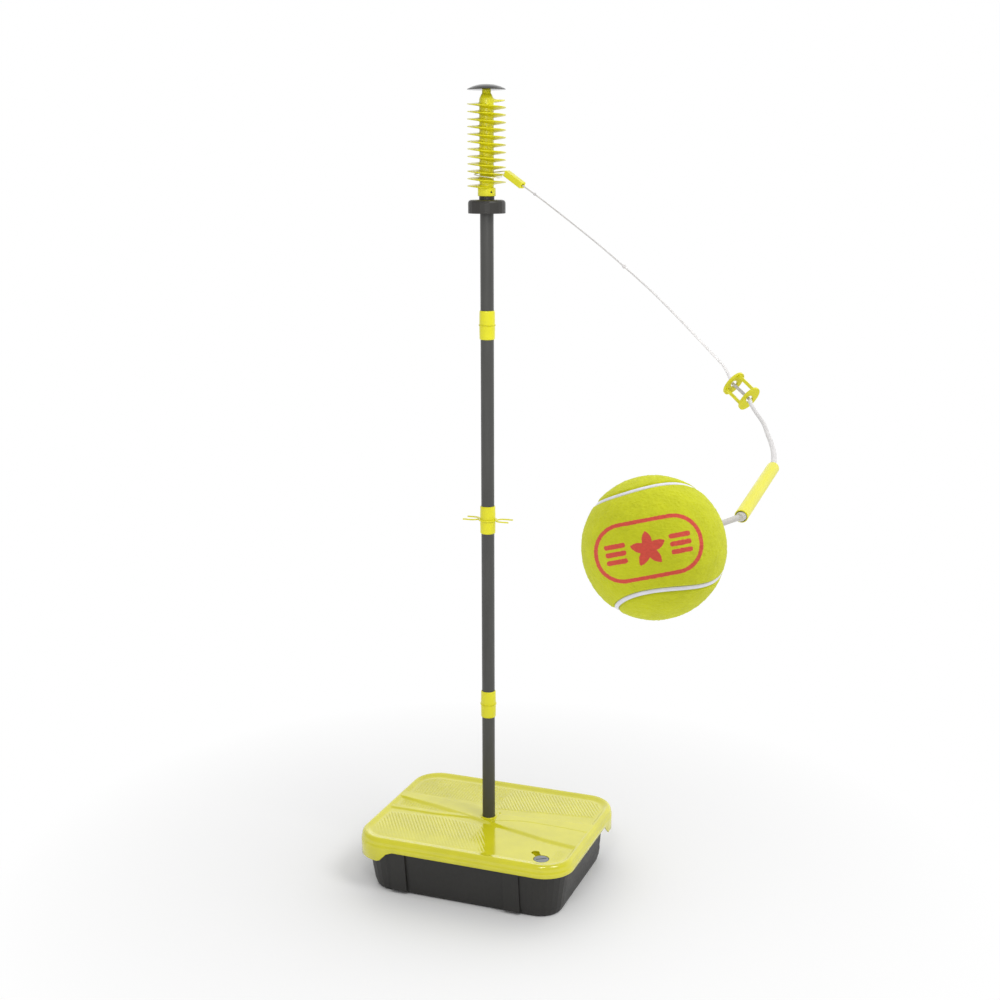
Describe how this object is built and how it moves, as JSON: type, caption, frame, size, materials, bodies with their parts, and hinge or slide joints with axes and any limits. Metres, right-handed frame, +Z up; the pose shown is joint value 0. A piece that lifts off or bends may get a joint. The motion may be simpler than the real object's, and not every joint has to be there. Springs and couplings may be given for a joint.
{
  "type": "tetherball set",
  "caption": "Garden tetherball: fillable base with a lid, pole in push-fit sections, spiral winding head, and a felt ball on a tether with a wire loop and cord adjuster.",
  "frame": {"origin": "on the floor under the pole's axis, in the middle of the base's flat underside", "axes": "+Z up along the pole, +X along the base's long side, -Y towards the ball as it is played"},
  "size_m": [1.2483, 2.485, 1.7085],
  "materials": {
    "yellow_plastic": "satin moulded plastic",
    "black_plastic": "fine matte moulded plastic",
    "grey_plastic": "satin",
    "black_rubber": "matte",
    "dark_pole": "dark grey satin coating",
    "dark_screw": "black oxide",
    "bright_wire": "bright drawn wire",
    "white_cord": "braided nylon",
    "yellow_felt": "woolly felt with a red printed motif",
    "seam_rubber": "matte",
    "ball_rubber": "matte"
  },
  "bodies": {
    "base": {"base_tank": "black_plastic", "base_lid": "yellow_plastic", "socket_bush": "yellow_plastic", "filler_well": "yellow_plastic"},
    "filler_plug": {"filler_plug": "grey_plastic", "plug_seal": "black_rubber", "plug_strap": "black_rubber"},
    "lower_pole": {"pole_lower": "dark_pole", "coupler_low_socket": "yellow_plastic"},
    "lower_middle_pole": {"coupler_low_spigot": "yellow_plastic", "pole_lower_middle": "dark_pole", "coupler_middle_socket": "yellow_plastic"},
    "bat_hanger": {"bat_hanger": "yellow_plastic"},
    "upper_middle_pole": {"coupler_middle_spigot": "yellow_plastic", "pole_upper_middle": "dark_pole", "coupler_high_socket": "yellow_plastic"},
    "top_pole": {"coupler_high_spigot": "yellow_plastic", "pole_top": "dark_pole", "neck_adapter": "black_plastic", "spiral_head": "yellow_plastic", "head_screw": "dark_screw", "top_cap": "black_plastic", "cap_screw": "dark_screw"},
    "stop_collar": {"stop_collar": "black_plastic"},
    "winding_loop": {"wire_loop": "bright_wire", "loop_sleeve": "yellow_plastic"},
    "upper_tether": {"tether_upper": "white_cord", "top_knot": "white_cord", "mid_knot": "white_cord", "tether_adjuster": "yellow_plastic"},
    "lower_tether": {"tether_lower": "white_cord", "ball_sleeve": "yellow_plastic"},
    "ball": {"end_knot": "white_cord", "ball_link": "white_cord", "ball_core": "ball_rubber", "felt_panel_front": "yellow_felt", "felt_panel_back": "yellow_felt", "ball_seam": "seam_rubber"}
  },
  "joints": [
    {"name": "filler_plug_lift", "type": "slide", "parent": "base", "child": "filler_plug", "axis": [0, 0, 1], "range_m": [0, 0.035]},
    {"name": "pole_pull_out", "type": "slide", "parent": "base", "child": "lower_pole", "axis": [0, 0, 1], "range_m": [0, 0.11]},
    {"name": "low_coupler_pull", "type": "slide", "parent": "lower_pole", "child": "lower_middle_pole", "axis": [0, 0, 1], "range_m": [0, 0.05]},
    {"name": "hanger_swivel", "type": "hinge", "parent": "lower_middle_pole", "child": "bat_hanger", "pos_m": [0, 0, 0.811], "axis": [0, 0, 1], "continuous": true},
    {"name": "middle_coupler_pull", "type": "slide", "parent": "lower_middle_pole", "child": "upper_middle_pole", "axis": [0, 0, 1], "range_m": [0, 0.05]},
    {"name": "high_coupler_pull", "type": "slide", "parent": "upper_middle_pole", "child": "top_pole", "axis": [0, 0, 1], "range_m": [0, 0.05]},
    {"name": "winding_turn", "type": "hinge", "parent": "top_pole", "child": "stop_collar", "pos_m": [0, 0, 1.467], "axis": [0, 0, 1], "range_deg": [-2880, 180]},
    {"name": "winding_climb", "type": "slide", "parent": "stop_collar", "child": "winding_loop", "axis": [0, 0, 1], "range_m": [-0.0074, 0.1177]},
    {"name": "tether_swing", "type": "hinge", "parent": "winding_loop", "child": "upper_tether", "pos_m": [0.089, -0.03, 1.51], "axis": [0.93, 0.3676, 0], "range_deg": [-30, 34]},
    {"name": "tether_bend", "type": "hinge", "parent": "upper_tether", "child": "lower_tether", "pos_m": [0.8815, -1.613, 1.3482], "axis": [0.9918, 0.128, 0], "range_deg": [-30, 30]},
    {"name": "ball_turn", "type": "hinge", "parent": "lower_tether", "child": "ball", "pos_m": [0.9995, -2.213, 1.3872], "axis": [0.7883, -0.6153, 0], "range_deg": [-45, 45]}
  ],
  "couplings": [
    {"joint": "winding_climb", "follows": "winding_turn", "m_per_rad": -0.0023396}
  ]
}
